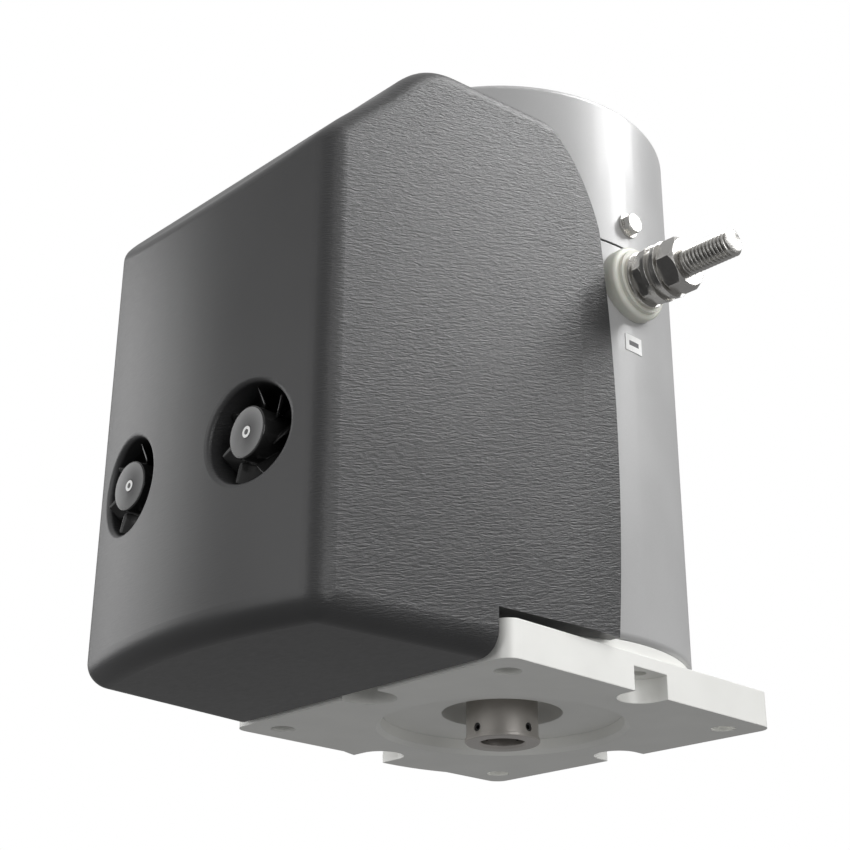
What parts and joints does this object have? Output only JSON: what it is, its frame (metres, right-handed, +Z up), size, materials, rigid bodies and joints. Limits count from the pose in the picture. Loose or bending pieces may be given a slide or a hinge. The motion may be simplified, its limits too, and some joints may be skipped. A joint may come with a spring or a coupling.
{
  "type": "garage door opener drive head",
  "caption": "Flange-mounted electric drive head for a door opener: upright motor, coupling hub below, side power studs and a fan-cooled electronics cover.",
  "frame": {"origin": "on the hub's axis, at the underside of the square flange", "axes": "+Z up along the motor axis, -Y towards the cover's front with the fans, +X towards the stud marked minus"},
  "size_m": [0.219, 0.2087, 0.2236],
  "materials": {
    "cast_plate": "die cast, fine satin",
    "can_coat": "silver grey satin coat",
    "cover_plastic": "charcoal moulding with a wavy leather grain",
    "zinc_steel": "bright zinc plated",
    "ivory_insulator": "satin ivory moulding",
    "label_white": "satin print",
    "label_grey": "satin print",
    "copper": "bare copper",
    "copper_enamel": "enamelled copper wire",
    "core_steel": "stacked laminations",
    "shaft_steel": "ground",
    "hub_steel": "turned, grey",
    "dark_steel": "black oxide",
    "bearing_steel": "polished",
    "seal_rubber": "matt",
    "magnet_ferrite": "ground ferrite",
    "brown_moulding": "phenolic moulding",
    "holder_brass": "stamped brass",
    "carbon": "carbon",
    "fan_black": "satin moulding",
    "fan_gloss": "glossy moulding, satin hub face",
    "bracket_steel": "zinc coated sheet",
    "sink_aluminium": "extruded",
    "chip_black": "moulded",
    "board_green": "solder mask",
    "capacitor_sleeve": "shrink sleeve",
    "relay_blue": "moulded",
    "lead_black": "insulated lead"
  },
  "bodies": {
    "housing": {"base_plate": "cast_plate", "bearing_balls": "bearing_steel", "bearing_circlip": "dark_steel", "bearing_outer_races": "bearing_steel", "bearing_preload_washer": "bearing_steel", "board_screws": "zinc_steel", "board_standoffs": "zinc_steel", "bracket_screws": "zinc_steel", "bracket_spacers": "zinc_steel", "brush_holders": "holder_brass", "brush_ring": "brown_moulding", "brush_springs": "bearing_steel", "brushes": "carbon", "cable_grommet": "seal_rubber", "cap_gasket": "seal_rubber", "capacitors": "capacitor_sleeve", "circuit_board": "board_green", "cover_screws": "zinc_steel", "cover_shell": "cover_plastic", "electronics_bracket": "bracket_steel", "end_cap": "can_coat", "end_cap_screws": "zinc_steel", "fan_frames": "fan_black", "fan_screws": "zinc_steel", "field_magnets": "magnet_ferrite", "heat_sink": "sink_aluminium", "motor_can": "can_coat", "motor_leads": "lead_black", "motor_relay": "relay_blue", "oil_seal": "seal_rubber", "polarity_labels": "label_white", "polarity_marks": "label_grey", "power_transistors": "chip_black", "terminal_clamp_nuts": "zinc_steel", "terminal_inner_bushes": "ivory_insulator", "terminal_insulators": "ivory_insulator", "terminal_links": "copper", "terminal_lock_nuts": "zinc_steel", "terminal_spring_washers": "zinc_steel", "terminal_studs": "zinc_steel", "terminal_washers": "zinc_steel", "tie_bolts": "zinc_steel"},
    "armature": {"armature_shaft": "shaft_steel", "armature_core": "core_steel", "armature_windings": "copper_enamel", "commutator_bars": "copper", "commutator_sleeve": "brown_moulding", "bearing_inner_races": "bearing_steel", "output_hub": "hub_steel", "hub_key": "shaft_steel", "hub_set_screws": "dark_steel"},
    "fan_left": {"fan_rotor_left": "fan_gloss", "fan_spindle_left": "shaft_steel"},
    "fan_right": {"fan_rotor_right": "fan_gloss", "fan_spindle_right": "shaft_steel"}
  },
  "joints": [
    {"name": "armature_spin", "type": "hinge", "parent": "housing", "child": "armature", "pos_m": [0, 0, 0.1], "axis": [0, 0, 1], "continuous": true},
    {"name": "fan_left_spin", "type": "hinge", "parent": "housing", "child": "fan_left", "pos_m": [-0.0298, -0.13, 0.0596], "axis": [0, -1, 0], "continuous": true},
    {"name": "fan_right_spin", "type": "hinge", "parent": "housing", "child": "fan_right", "pos_m": [0.0298, -0.13, 0.0596], "axis": [0, -1, 0], "continuous": true}
  ]
}
